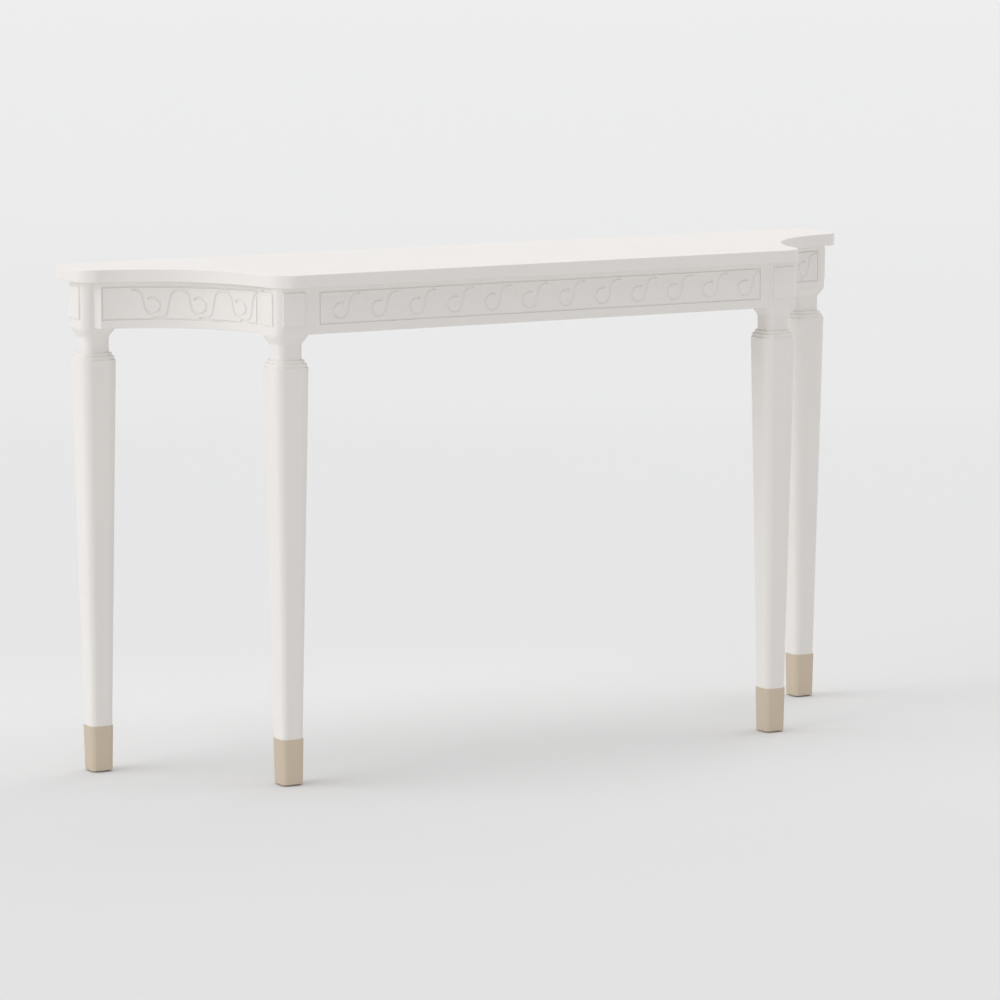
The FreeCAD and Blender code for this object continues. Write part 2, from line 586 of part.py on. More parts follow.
def screw_places():
    """Plan places of the right-hand top screws: one in each glue block and two in the rail."""
    inset, outset = rule(" - screw_inset"), rule(" + screw_inset")
    return (("front_block", FRONT_INNER_X + inset, FRONT_APRON_BACK_Y + outset),
            ("back_block", BACK_INNER_X + inset, BACK_APRON_Y + inset),
            ("rail_front", rule("rail_x"), FRONT_APRON_BACK_Y + rule(" + rail_screw_inset")),
            ("rail_back", rule("rail_x"), BACK_APRON_Y + rule(" - rail_screw_inset")))


def make_top_screws():
    """Screws that hold the top down, with their heads sunk in the rails and glue blocks."""
    screws, wells = [], []
    for title, x, y in screw_places():
        shank = cylinder("screw_shank_" + title, rule("screw_d / 2"), rule("screw_grip + screw_bite"),
                         x=x, y=y, z=SCREW_SEAT_Z)
        head = cylinder("screw_head_" + title, rule("screw_head_d / 2"), rule("screw_head_h"),
                        x=x, y=y, z=SCREW_SEAT_Z + rule(" - screw_head_h"))
        screws.append(boolean("Fuse", "screw_" + title, head, shank))
        wells.append(cylinder("screw_well_" + title, rule("screw_head_d / 2"), rule("rail_h - screw_grip"),
                              x=x, y=y, z=TOP_Z + rule(" - rail_h")))
    right = compound("top_screws_right", screws)
    group = compound("top_screws", [right, mirrored("top_screws_left", right)])
    return group, compound("screw_bores", [right] + wells)


# Assembly
front_blank = make_leg("front_leg", FRONT_LEG_X, FRONT_LEG_Y, [(1, -1)],
                       [("XZ_Plane", False), ("YZ_Plane", False)])
back_blank = make_leg("back_leg", BACK_LEG_X, BACK_LEG_Y, [(1, -1), (1, 1)], [("YZ_Plane", False)])
apron_dowels = make_dowels()
rail_dowels = make_rail_dowels()
top_screws, screw_bores = make_top_screws()

nodes = {"apron_dowels": apron_dowels, "rail_dowels": rail_dowels, "top_screws": top_screws}
nodes["top"] = boolean("Cut", "top_bored", make_top(), top_screws)
nodes["front_apron"] = boolean("Cut", "front_apron_bored", make_front_apron(),
                               compound("front_apron_bores", [apron_dowels, rail_dowels]))
nodes["back_apron"] = boolean("Cut", "back_apron_bored", make_back_apron(),
                              compound("back_apron_bores", [apron_dowels, rail_dowels]))

end_board = boolean("Cut", "end_board_bored", make_end_board(back_blank), apron_dowels)
nodes["right_end_apron"] = carve_end(end_board, "right", rule("right_scroll_start"))
left_as_right = carve_end(end_board, "left", rule("left_scroll_start"))
nodes["left_end_apron"] = mirrored("left_end_apron_mirrored", left_as_right)

right_side = {}
for place, blank, x, y in (("front", front_blank, FRONT_LEG_X, FRONT_LEG_Y),
                           ("back", back_blank, BACK_LEG_X, BACK_LEG_Y)):
    glide = make_glide(place + "_glide_nailed", x, y)
    bores = compound(place + "_leg_bores", [apron_dowels, glide])
    right_side[place + "_leg"] = boolean("Cut", place + "_leg_bored", blank, bores)
    shell = make_sabot(place + "_sabot", x, y)
    right_side[place + "_sabot"] = boolean("Cut", place + "_sabot_bored", shell, glide)
    right_side[place + "_glide"] = glide
right_side["cross_rail"] = boolean("Cut", "cross_rail_bored", make_rail(),
                                   compound("cross_rail_bores", [rail_dowels, screw_bores]))
front_block = make_glue_block("front_glue", FRONT_INNER_X, FRONT_APRON_BACK_Y, 1)
back_block = make_glue_block("back_glue", BACK_INNER_X, BACK_APRON_Y, -1)
right_side["front_glue_block"] = boolean("Cut", "front_glue_bored", front_block, screw_bores)
right_side["back_glue_block"] = boolean("Cut", "back_glue_bored", back_block, screw_bores)

for part, solid in right_side.items():
    nodes["right_" + part] = solid
    nodes["left_" + part] = mirrored("left_" + part + "_mirrored", solid)
for name, obj in nodes.items():
    obj.Label = name
doc.recompute()

for obj in doc.Objects:
    if "Invalid" in obj.State or "Error" in obj.State:
        raise ValueError("failed: " + obj.Name)
for name, obj in nodes.items():
    if obj.Shape.isNull() or not obj.Shape.isValid():
        raise ValueError("bad shape: " + name)
for name, obj in sorted(nodes.items()):
    obj.Shape.exportStep("parts/" + name + ".step")
    print(name, len(obj.Shape.Solids), "solid", round(obj.Shape.Volume / 1000, 2), "cm3")
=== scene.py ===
import math

import bmesh
import bpy
from mathutils import Matrix, Vector


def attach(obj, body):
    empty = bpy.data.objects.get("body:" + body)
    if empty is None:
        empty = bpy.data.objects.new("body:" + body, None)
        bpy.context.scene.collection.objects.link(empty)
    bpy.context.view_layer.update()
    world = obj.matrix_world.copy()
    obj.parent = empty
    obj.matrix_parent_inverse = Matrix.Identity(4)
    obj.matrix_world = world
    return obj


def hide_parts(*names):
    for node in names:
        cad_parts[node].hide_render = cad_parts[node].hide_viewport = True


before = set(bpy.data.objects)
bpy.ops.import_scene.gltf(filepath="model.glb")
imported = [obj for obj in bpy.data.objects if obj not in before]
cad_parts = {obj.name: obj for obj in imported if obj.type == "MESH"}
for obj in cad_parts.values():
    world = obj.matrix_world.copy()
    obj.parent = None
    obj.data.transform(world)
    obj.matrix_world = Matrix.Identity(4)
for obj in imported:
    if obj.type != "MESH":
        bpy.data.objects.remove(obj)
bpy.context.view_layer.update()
scene = bpy.context.scene
mm = 0.001
hair = 1e-6  # points nearer than this are one

# the table's four corners: name of the side, which way it lies, front or back
corners = [(name, side, place) for name, side in (("left", -1), ("right", 1)) for place in ("front", "back")]

print("frame loaded")


# sRGB hex to the linear values a socket takes
def linear(hexText):
    parts = [int(hexText[k:k + 2], 16) / 255 for k in (1, 3, 5)]
    return [c / 12.92 if c <= 0.04045 else ((c + 0.055) / 1.055) ** 2.4 for c in parts] + [1.0]


# outputs go to a node's sockets as {socket: output}
def wire(tree, node, links):
    for socket, output in links.items():
        tree.links.new(output, node.inputs[socket])


# one node with its settings, the values on its sockets and the links into them
def addNode(tree, kind, values=None, links=None, **settings):
    node = tree.nodes.new(kind)
    for name, value in settings.items():
        setattr(node, name, value)
    for socket, value in (values or {}).items():
        node.inputs[socket].default_value = value
    wire(tree, node, links or {})
    return node


def newMaterial(name):
    material = bpy.data.materials.new(name)
    material.use_nodes = True
    tree = material.node_tree
    return material, tree, tree.nodes["Principled BSDF"]


# scale of a pattern from its size in millimetres, drawn out along one axis
def grainScale(acrossMm, alongMm, axis):
    return [1 / ((alongMm if letter == axis else acrossMm) * mm) for letter in "xyz"]


# Satin paint brushed on close-grained wood: an even warm white, faint brush marks along the wood
# and a soft sheen that breaks up a little
def satinPaint(name, brushAlong):
    material, tree, shader = newMaterial(name)
    place = addNode(tree, "ShaderNodeTexCoord").outputs["Object"]
    brushMm, strokeMm, patchMm = 1.6, 70.0, 180.0  # mark width, mark length, cloudiness
    stretched = addNode(tree, "ShaderNodeMapping", {"Scale": grainScale(brushMm, strokeMm, brushAlong)},
                        {"Vector": place})
    marks = addNode(tree, "ShaderNodeTexNoise", {"Scale": 1.0, "Detail": 3.0, "Roughness": 0.55},
                    {"Vector": stretched.outputs["Vector"]})
    clouds = addNode(tree, "ShaderNodeTexNoise", {"Scale": 1 / (patchMm * mm), "Detail": 2.0},
                     {"Vector": place})
    tint = addNode(tree, "ShaderNodeMix", {"A": linear("#e9e5e1"), "B": linear("#ece8e4")},
                   {"Factor": clouds.outputs["Fac"]}, data_type="RGBA")
    sheen = addNode(tree, "ShaderNodeMapRange",
                    {"From Min": 0.3, "From Max": 0.7, "To Min": 0.36, "To Max": 0.46},
                    {"Value": marks.outputs["Fac"]})
    relief = addNode(tree, "ShaderNodeBump", {"Strength": 0.12, "Distance": 0.05 * mm},
                     {"Height": marks.outputs["Fac"]})
    wire(tree, shader, {"Base Color": tint.outputs["Result"], "Roughness": sheen.outputs["Result"],
                        "Normal": relief.outputs["Normal"]})
    shader.inputs["IOR"].default_value = 1.48
    return material


# Champagne-plated brass under satin lacquer, brushed up the foot: pale gold with fine upright lines
# and little mirror in it
def brushedChampagne():
    material, tree, shader = newMaterial("brushedChampagnePlate")
    place = addNode(tree, "ShaderNodeTexCoord").outputs["Object"]
    lineMm, runMm = 0.5, 40.0  # the grit is finer, drawn coarser so that it shows
    stretched = addNode(tree, "ShaderNodeMapping", {"Scale": grainScale(lineMm, runMm, "z")},
                        {"Vector": place})
    lines = addNode(tree, "ShaderNodeTexNoise", {"Scale": 1.0, "Detail": 3.0, "Roughness": 0.6},
                    {"Vector": stretched.outputs["Vector"]})
    tint = addNode(tree, "ShaderNodeMix", {"A": linear("#cabba7"), "B": linear("#d2c3af")},
                   {"Factor": lines.outputs["Fac"]}, data_type="RGBA")
    gloss = addNode(tree, "ShaderNodeMapRange",
                    {"From Min": 0.3, "From Max": 0.7, "To Min": 0.46, "To Max": 0.58},
                    {"Value": lines.outputs["Fac"]})
    relief = addNode(tree, "ShaderNodeBump", {"Strength": 0.08, "Distance": 0.02 * mm},
                     {"Height": lines.outputs["Fac"]})
    wire(tree, shader, {"Base Color": tint.outputs["Result"], "Roughness": gloss.outputs["Result"],
                        "Normal": relief.outputs["Normal"]})
    shader.inputs["Metallic"].default_value = 0.25  # the lacquer takes most of the mirror away
    return material


# Planed beech left bare: pinkish tan, long grain with short darker flecks, no shine
def bareBeech(name, grainAlong):
    material, tree, shader = newMaterial(name)
    place = addNode(tree, "ShaderNodeTexCoord").outputs["Object"]
    ringMm, runMm = 6.0, 160.0
    fleckMm, fleckRunMm = 1.1, 8.8
    grainPlace = addNode(tree, "ShaderNodeMapping", {"Scale": grainScale(ringMm, runMm, grainAlong)},
                         {"Vector": place})
    fleckPlace = addNode(tree, "ShaderNodeMapping", {"Scale": grainScale(fleckMm, fleckRunMm, grainAlong)},
                         {"Vector": place})
    grain = addNode(tree, "ShaderNodeTexNoise", {"Scale": 1.0, "Detail": 4.0, "Distortion": 0.4},
                    {"Vector": grainPlace.outputs["Vector"]})
    flecks = addNode(tree, "ShaderNodeTexNoise", {"Scale": 1.0, "Detail": 1.0},
                     {"Vector": fleckPlace.outputs["Vector"]})
    wood = addNode(tree, "ShaderNodeValToRGB", {}, {"Fac": grain.outputs["Fac"]})
    for stop, (share, colour) in zip(wood.color_ramp.elements, ((0.32, "#c39a72"), (0.68, "#dab890"))):
        stop.position, stop.color = share, linear(colour)
    dark = addNode(tree, "ShaderNodeMapRange",
                   {"From Min": 0.56, "From Max": 0.7, "To Min": 0.0, "To Max": 0.35},
                   {"Value": flecks.outputs["Fac"]})
    flecked = addNode(tree, "ShaderNodeMix", {"B": linear("#a0744e")},
                      {"Factor": dark.outputs["Result"], "A": wood.outputs["Color"]}, data_type="RGBA")
    relief = addNode(tree, "ShaderNodeBump", {"Strength": 0.2, "Distance": 0.1 * mm},
                     {"Height": grain.outputs["Fac"]})
    wire(tree, shader, {"Base Color": flecked.outputs["Result"], "Normal": relief.outputs["Normal"]})
    shader.inputs["Roughness"].default_value = 0.62
    return material


# Moulded nylon: milky, with a fine spark-eroded texture
def mouldedNylon():
    material, tree, shader = newMaterial("mouldedNylon")
    place = addNode(tree, "ShaderNodeTexCoord").outputs["Object"]
    gritMm = 0.6
    grit = addNode(tree, "ShaderNodeTexNoise", {"Scale": 1 / (gritMm * mm), "Detail": 2.0}, {"Vector": place})
    tint = addNode(tree, "ShaderNodeMix", {"A": linear("#cfc9bd"), "B": linear("#d9d4c9")},
                   {"Factor": grit.outputs["Fac"]}, data_type="RGBA")
    relief = addNode(tree, "ShaderNodeBump", {"Strength": 0.25, "Distance": 0.05 * mm},
                     {"Height": grit.outputs["Fac"]})
    wire(tree, shader, {"Base Color": tint.outputs["Result"], "Normal": relief.outputs["Normal"]})
    shader.inputs["Roughness"].default_value = 0.5
    shader.inputs["IOR"].default_value = 1.53
    return material


# Zinc-plated steel: cool grey with a faint bluish mottle
def zincSteel():
    material, tree, shader = newMaterial("zincPlatedSteel")
    place = addNode(tree, "ShaderNodeTexCoord").outputs["Object"]
    mottleMm = 1.5
    mottle = addNode(tree, "ShaderNodeTexNoise", {"Scale": 1 / (mottleMm * mm), "Detail": 2.0},
                     {"Vector": place})
    tint = addNode(tree, "ShaderNodeMix", {"A": linear("#a9adb1"), "B": linear("#bfc3c8")},
                   {"Factor": mottle.outputs["Fac"]}, data_type="RGBA")
    gloss = addNode(tree, "ShaderNodeMapRange", {"To Min": 0.25, "To Max": 0.42},
                    {"Value": mottle.outputs["Fac"]})
    wire(tree, shader, {"Base Color": tint.outputs["Result"], "Roughness": gloss.outputs["Result"]})
    shader.inputs["Metallic"].default_value = 1.0
    return material


paintAcross = satinPaint("satinPaintAcross", "x")
paintUpright = satinPaint("satinPaintUpright", "z")
champagne = brushedChampagne()
beechAcross, beechDeep = bareBeech("bareBeechAcross", "x"), bareBeech("bareBeechDeep", "y")
beechUpright = bareBeech("bareBeechUpright", "z")
nylon, zinc = mouldedNylon(), zincSteel()

print("materials ready")


# bent tubes and rings can come out inside out, so each closed island is tried by its own volume
def faceOutwards(bm):
    bmesh.ops.recalc_face_normals(bm, faces=bm.faces)
    waiting = set(bm.faces)
    while waiting:
        island, reached = [], [waiting.pop()]
        while reached:
            face = reached.pop()
            island.append(face)
            near = {f for e in face.edges for f in e.link_faces} & waiting
            waiting -= near
            reached.extend(near)
        origin = island[0].calc_center_median()
        inside = sum((f.calc_center_median() - origin).dot(f.normal) * f.calc_area() for f in island)
        if inside < 0:
            bmesh.ops.reverse_faces(bm, faces=island)


# a closed bmesh becomes an object at the origin, and is used up
def asObject(bm, name):
    faceOutwards(bm)
    mesh = bpy.data.meshes.new(name)
    bm.to_mesh(mesh)
    bm.free()
    made = bpy.data.objects.new(name, mesh)
    scene.collection.objects.link(made)
    return made


# a finished piece of the table; edges sharper than the angle stay crisp
def finishPiece(bm, name, material, nodes, crisp=35):
    piece = asObject(bm, name)
    piece.data.shade_smooth()
    piece.data.set_sharp_from_angle(angle=math.radians(crisp))
    piece.data.materials.append(material)
    flat = piece.modifiers.new("flatFaces", "WEIGHTED_NORMAL")
    flat.keep_sharp = True
    flat.weight = 100  # the large flats decide
    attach(piece, "root")
    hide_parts(*nodes)
    return piece


# join or cut closed bmeshes with the exact solver; the operands are used up
def combine(base, tools, operation):
    body = asObject(base, "combineBase")
    helpers = [asObject(tool, "combineTool%d" % k) for k, tool in enumerate(tools)]
    for helper in helpers:
        step = body.modifiers.new(helper.name, "BOOLEAN")
        step.operation, step.solver, step.object = operation, "EXACT", helper
    evaluated = body.evaluated_get(bpy.context.evaluated_depsgraph_get())
    result = bmesh.new()
    result.from_mesh(evaluated.to_mesh())
    evaluated.to_mesh_clear()
    for helper in helpers + [body]:
        mesh = helper.data
        bpy.data.objects.remove(helper)
        bpy.data.meshes.remove(mesh)
    return result


def lineTo(bm, vert, x, y):
    end = bmesh.ops.extrude_vert_indiv(bm, verts=[vert])["verts"][0]
    end.co = (x, y, vert.co.z)
    return end


def arcTo(bm, vert, centre, degrees, steps):
    swept = bmesh.ops.spin(bm, geom=[vert], cent=(centre[0], centre[1], vert.co.z), axis=(0, 0, 1),
                           angle=math.radians(degrees), steps=steps)
    return [item for item in swept["geom_last"] if isinstance(item, bmesh.types.BMVert)][0]


def box(low, high):
    bm = bmesh.new()
    low, high = Vector(low), Vector(high)
    bmesh.ops.create_cube(bm, size=1)
    bmesh.ops.scale(bm, vec=high - low, verts=bm.verts)
    bmesh.ops.translate(bm, vec=(low + high) / 2, verts=bm.verts)
    return bm


def everything(bm):
    return bm.verts[:] + bm.edges[:] + bm.faces[:]


def bevelEdges(bm, edges, offset, segments):
    bmesh.ops.bevel(bm, geom=edges, offset=offset, affect="EDGES", segments=segments, profile=0.5,
                    material=-1)


# edges that run along an axis, 0 1 or 2
def edgesAlong(bm, axis):
    return [e for e in bm.edges
            if all(abs(e.verts[0].co[k] - e.verts[1].co[k]) < hair for k in range(3) if k != axis)]


# edges that stick out by more than an angle
def outerEdges(bm, sharper=60):
    return [e for e in bm.edges if e.is_manifold and e.calc_face_angle_signed() > math.radians(sharper)]


def isLevel(edge):
    return abs(edge.verts[0].co.z - edge.verts[1].co.z) < hair


def atBottom(edges, low):
    return [e for e in edges if max(v.co.z for v in e.verts) < low + mm]


# The top: a slab with a quarter-round bay out of each front corner
slab = dict(halfWidth=756 * mm, halfDepth=195 * mm, low=842 * mm, high=864 * mm, bayRadius=236 * mm,
            bayY=-178 * mm, frontCorner=46 * mm, earCorner=36 * mm, backCorner=40 * mm, arris=1.6 * mm,
            baySteps=72, cornerSteps=18, arrisSteps=4)


def buildTop(s):
    bm = bmesh.new()
    bayX, bayY, bay = s["halfWidth"], s["bayY"], s["bayRadius"]
    front, ear, back = s["frontCorner"], s["earCorner"], s["backCorner"]
    # centres of the two arcs that are tangent to the bay
    frontY = -s["halfDepth"] + front
    frontX = bayX - math.sqrt((bay + front) ** 2 - (frontY - bayY) ** 2)
    earX = bayX - ear
    earY = bayY + math.sqrt((bay + ear) ** 2 - ear ** 2)
    frontTurn = math.degrees(math.atan2(bayY - frontY, bayX - frontX))
    earTurn = math.degrees(math.atan2(bayY - earY, bayX - earX))
    # right half of the outline, from the middle of the front to the middle of the back
    end = bm.verts.new((0, -s["halfDepth"], s["low"]))
    end = lineTo(bm, end, frontX, -s["halfDepth"])
    end = arcTo(bm, end, (frontX, frontY), 90 + frontTurn, s["cornerSteps"])
    end = arcTo(bm, end, (bayX, bayY), earTurn - frontTurn, s["baySteps"])
    end = arcTo(bm, end, (earX, earY), -earTurn, s["cornerSteps"])
    end = lineTo(bm, end, bayX, s["halfDepth"] - back)
    end = arcTo(bm, end, (bayX - back, s["halfDepth"] - back), 90, s["cornerSteps"])
    lineTo(bm, end, 0, s["halfDepth"])
    bmesh.ops.mirror(bm, geom=bm.verts[:] + bm.edges[:], axis="X", merge_dist=hair)
    bmesh.ops.remove_doubles(bm, verts=bm.verts, dist=hair)
    bmesh.ops.edgeloop_fill(bm, edges=bm.edges)
    raised = bmesh.ops.extrude_face_region(bm, geom=bm.faces[:])
    bmesh.ops.translate(bm, vec=(0, 0, s["high"] - s["low"]),
                        verts=[v for v in raised["geom"] if isinstance(v, bmesh.types.BMVert)])
    bmesh.ops.recalc_face_normals(bm, faces=bm.faces)
    bevelEdges(bm, [e for e in outerEdges(bm) if isLevel(e)], s["arris"], s["arrisSteps"])
    return finishPiece(bm, "tableTop", paintAcross, ["top"])


buildTop(slab)
print("top built")


# Legs: panelled block, bed mould, neck, two-ring collar and tapered shaft
leg = dict(frontX=479 * mm, frontY=-148 * mm, backX=710.5 * mm, backY=116 * mm,
           blockWidth=66 * mm, blockLow=763 * mm, blockHigh=842 * mm, blockCorner=16 * mm, blockSteps=10,
           ease=0.3 * mm, easeSteps=2,
           padWidth=42 * mm, padLow=778.5 * mm, padHigh=834 * mm, padRelief=2.4 * mm, padSeat=4 * mm,
           padRound=1.6 * mm, padSteps=3,
           bedWidth=65.7 * mm, bedSteps=10, bedLow=744 * mm, bedSeat=4 * mm,
           neckWidth=46 * mm, neckLow=720 * mm, ringWidths=(54.6 * mm, 61.6 * mm),
           ringLows=(714.5 * mm, 708.5 * mm), ringEase=1.0 * mm, ringSteps=3,
           shaftWidth=66 * mm, footWidth=41.4 * mm, footZ=80 * mm, cornerShare=0.27, cornerSteps=8)


# square with round corners, drawn on the floor plane at a height
def roundedSquare(bm, width, corner, height, steps):
    made = bmesh.ops.create_grid(bm, x_segments=1, y_segments=1, size=width / 2,
                                 matrix=Matrix.Translation((0, 0, height)))
    bmesh.ops.bevel(bm, geom=made["verts"], offset=corner, affect="VERTICES", segments=steps, profile=0.5,
                    material=-1)
    bm.faces.ensure_lookup_table()
    return bm.faces[0]


# pull the end face on to a new height and width; only the first one stays behind, as the base
def drawOn(bm, face, height, scale):
    covered = all(len(e.link_faces) > 1 for e in face.edges)
    out = bmesh.ops.extrude_face_region(bm, geom=[face])
    if covered:
        bmesh.ops.delete(bm, geom=[face], context="FACES_ONLY")
    face = [f for f in out["geom"] if isinstance(f, bmesh.types.BMFace)][0]
    bmesh.ops.scale(bm, vec=(scale, scale, 1), verts=face.verts)
    bmesh.ops.translate(bm, vec=(0, 0, height - face.verts[0].co.z), verts=face.verts)
    return face


def buildShaft(s):
    bm = bmesh.new()
    width = s["footWidth"]
    face = roundedSquare(bm, width, width * s["cornerShare"], s["footZ"], s["cornerSteps"])
    upper, lower = s["ringWidths"]
    upperLow, lowerLow = s["ringLows"]
    steps = [(lowerLow, s["shaftWidth"]), (lowerLow, lower), (upperLow, lower), (upperLow, upper),
             (s["neckLow"], upper), (s["neckLow"], s["neckWidth"]), (s["bedLow"], s["neckWidth"])]
    for k in range(1, s["bedSteps"] + 1):  # the bed mould's ogee, up to the block
        rise = k / s["bedSteps"]
        steps.append((s["bedLow"] + (s["blockLow"] - s["bedLow"]) * rise,
                      s["neckWidth"] + (s["bedWidth"] - s["neckWidth"]) * rise * rise * (3 - 2 * rise)))
    steps.append((s["blockLow"] + s["bedSeat"], s["bedWidth"]))
    for height, newWidth in steps:
        face = drawOn(bm, face, height, newWidth / width)
        width = newWidth
    bmesh.ops.recalc_face_normals(bm, faces=bm.faces)
    rings = [e for e in outerEdges(bm, sharper=50) if isLevel(e)
             and s["footZ"] + mm < e.verts[0].co.z < s["bedLow"]]
    bevelEdges(bm, rings, s["ringEase"], s["ringSteps"])
    return bm


def buildBlock(s, roundCorners):
    half = s["blockWidth"] / 2
    bm = box((-half, -half, s["blockLow"]), (half, half, s["blockHigh"]))
    rounded = [e for e in edgesAlong(bm, 2)
               if (math.copysign(1, e.verts[0].co.x), math.copysign(1, e.verts[0].co.y)) in roundCorners]
    bevelEdges(bm, rounded, s["blockCorner"], s["blockSteps"])
    bevelEdges(bm, atBottom(outerEdges(bm), s["blockLow"]), s["ease"], s["easeSteps"])
    return bm


# raised panel on one face of a block; the turn is about the leg's axis, 0 is the front
def buildPad(s, turn):
    half, reach = s["padWidth"] / 2, s["blockWidth"] / 2
    bm = box((-half, -reach - s["padRelief"], s["padLow"]), (half, -reach + s["padSeat"], s["padHigh"]))
    front = [e for e in bm.edges if all(v.co.y < -reach - s["padRelief"] / 2 for v in e.verts)]
    bevelEdges(bm, front, s["padRound"], s["padSteps"])
    bmesh.ops.rotate(bm, cent=(0, 0, 0), matrix=Matrix.Rotation(math.radians(turn), 3, "Z"), verts=bm.verts)
    return bm


# a front leg's panels face the front and the end, a back leg's the end alone
def buildLeg(sideName, side, place, s):
    roundCorners = [(side, -1)] if place == "front" else [(side, -1), (side, 1)]
    turns = [90 * side] + ([0] if place == "front" else [])
    parts = [buildShaft(s)] + [buildPad(s, turn) for turn in turns]
    bm = combine(buildBlock(s, roundCorners), parts, "UNION")
    bmesh.ops.translate(bm, vec=(side * s[place + "X"], s[place + "Y"], 0), verts=bm.verts)
    name = sideName + place.capitalize() + "Leg"
    return finishPiece(bm, name, paintUpright, ["%s_%s_leg" % (sideName, place)])


for sideName, side, place in corners:
    buildLeg(sideName, side, place, leg)
print("legs built")


# Sabots: thin square shoes that carry the taper on, and a nailed glide under each
sabot = dict(low=2.5 * mm, high=80 * mm, lowWidth=39.0 * mm, highWidth=42.0 * mm, corner=7.5 * mm,
             cornerSteps=8, wall=1.6 * mm, floor=3 * mm, ease=0.5 * mm, easeSteps=2)
glide = dict(radius=12 * mm, height=2.5 * mm, nailRadius=1.75 * mm, nailLength=22 * mm, sides=40,
             ease=0.6 * mm, easeSteps=3)


def buildSabot(name, node, x, y, s):
    bm = bmesh.new()
    face = roundedSquare(bm, s["lowWidth"], s["corner"], s["low"], s["cornerSteps"])
    face = drawOn(bm, face, s["high"], s["highWidth"] / s["lowWidth"])
    face = drawOn(bm, face, s["high"], 1 - 2 * s["wall"] / s["highWidth"])
    inner = (s["lowWidth"] - 2 * s["wall"]) / (s["highWidth"] - 2 * s["wall"])
    drawOn(bm, face, s["low"] + s["floor"], inner)
    bmesh.ops.recalc_face_normals(bm, faces=bm.faces)
    bevelEdges(bm, [e for e in outerEdges(bm) if isLevel(e)], s["ease"], s["easeSteps"])
    bmesh.ops.translate(bm, vec=(x, y, 0), verts=bm.verts)
    return finishPiece(bm, name, champagne, [node], crisp=40)


def buildGlide(name, node, x, y, s):
    bm = bmesh.new()
    bmesh.ops.create_circle(bm, cap_ends=True, segments=s["sides"], radius=s["radius"])
    bm.faces.ensure_lookup_table()
    face = drawOn(bm, bm.faces[0], s["height"], 1)
    face = drawOn(bm, face, s["height"], s["nailRadius"] / s["radius"])
    drawOn(bm, face, s["height"] + s["nailLength"], 1)
    bmesh.ops.recalc_face_normals(bm, faces=bm.faces)
    rim = [e for e in outerEdges(bm) if max(v.co.xy.length for v in e.verts) > s["radius"] / 2]
    bevelEdges(bm, rim, s["ease"], s["easeSteps"])
    bmesh.ops.translate(bm, vec=(x, y, 0), verts=bm.verts)
    return finishPiece(bm, name, nylon, [node])


for sideName, side, place in corners:
    at = (side * leg[place + "X"], leg[place + "Y"])
    piece, node = sideName + place.capitalize(), "%s_%s_" % (sideName, place)
    buildSabot(piece + "Sabot", node + "sabot", *at, sabot)
    buildGlide(piece + "Glide", node + "glide", *at, glide)
print("sabots and glides built")


# The running scroll, cut with a round gouge. A stroke is a run of straights and arcs, drawn as it is seen
# from outside: x to the right, z up, y into the wood.
scroll = dict(coilRadius=13.5 * mm, coilHeight=801.5 * mm, coilTurn=282, lean=12, stem=19 * mm,
              crestRadius=14 * mm, crestRun=5 * mm, hookHeight=780.8 * mm, hookRadius=12 * mm,
              gougeRadius=2.1 * mm, deep=1.8 * mm, faint=0.3 * mm, sides=14, step=1.6 * mm)
field = dict(low=778.5 * mm, endLow=777 * mm, high=834 * mm, line=2.5 * mm, gougeRadius=1.5 * mm, deep=2 * mm)


# a move is (None, length) for a straight and (radius, degrees) for an arc, which bends left where the
# degrees are positive
def gougeStroke(bm, start, heading, moves, deep, s, step):
    radius = s["gougeRadius"]
    spot, turned = Vector((start[0], deep - radius, start[1])), heading
    facing = Matrix.Rotation(math.radians(90 - heading), 4, "Y")
    made = bmesh.ops.create_circle(bm, segments=s["sides"], radius=radius,
                                   matrix=Matrix.Translation(spot) @ facing)
    ring = made["verts"] + list(dict.fromkeys(e for v in made["verts"] for e in v.link_edges))
    for bend, amount in moves:
        forward = Vector((math.cos(math.radians(turned)), 0, math.sin(math.radians(turned))))
        if bend is None:
            steps = max(1, round(amount / step))
            swept = bmesh.ops.spin(bm, geom=ring, cent=spot, axis=(0, 1, 0), dvec=forward * amount / steps,
                                   angle=0, steps=steps)
            spot = spot + forward * amount
        else:
            toCentre = Vector((-forward.z, 0, forward.x)) * math.copysign(bend, amount)
            steps = max(2, round(abs(math.radians(amount)) * bend / step))
            swept = bmesh.ops.spin(bm, geom=ring, cent=spot + toCentre, axis=(0, -1, 0),
                                   angle=math.radians(amount), steps=steps)
            turn = Matrix.Rotation(math.radians(-amount), 3, "Y")
            spot = spot + toCentre - turn @ toCentre
            turned += amount
        ring = [item for item in swept["geom_last"] if not isinstance(item, bmesh.types.BMFace)]


